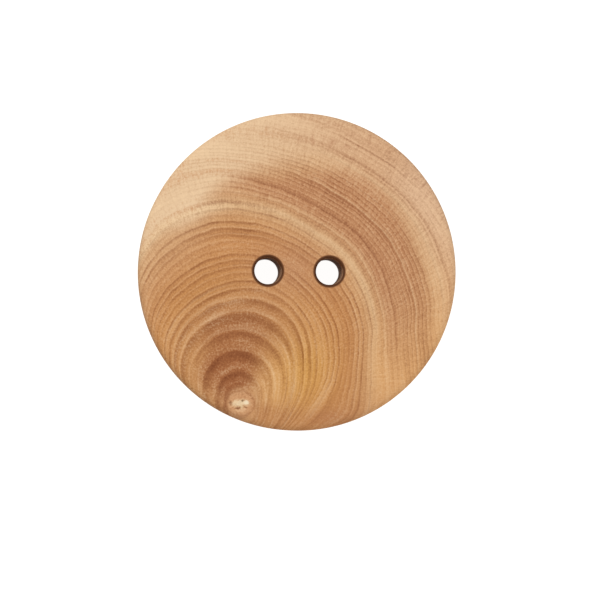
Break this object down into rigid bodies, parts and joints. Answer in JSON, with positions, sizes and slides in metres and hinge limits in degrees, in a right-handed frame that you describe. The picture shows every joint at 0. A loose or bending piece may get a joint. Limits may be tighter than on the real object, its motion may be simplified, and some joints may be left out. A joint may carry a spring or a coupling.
{
  "type": "sew-on button",
  "caption": "Round wooden sew-on button: a turned, slightly domed disc with a flat back and a pair of thread holes drilled straight through it.",
  "frame": {"origin": "middle of the flat back face, where the button rests on the cloth", "axes": "+Z is the button's axis and points out of the domed front; +X runs through both sewing holes; +Y completes the frame"},
  "size_m": [0.03, 0.03, 0.0045],
  "materials": {
    "wood": "satin, fine sanded and lightly oiled end grain"
  },
  "bodies": {
    "root": {"button": "wood"}
  },
  "joints": []
}
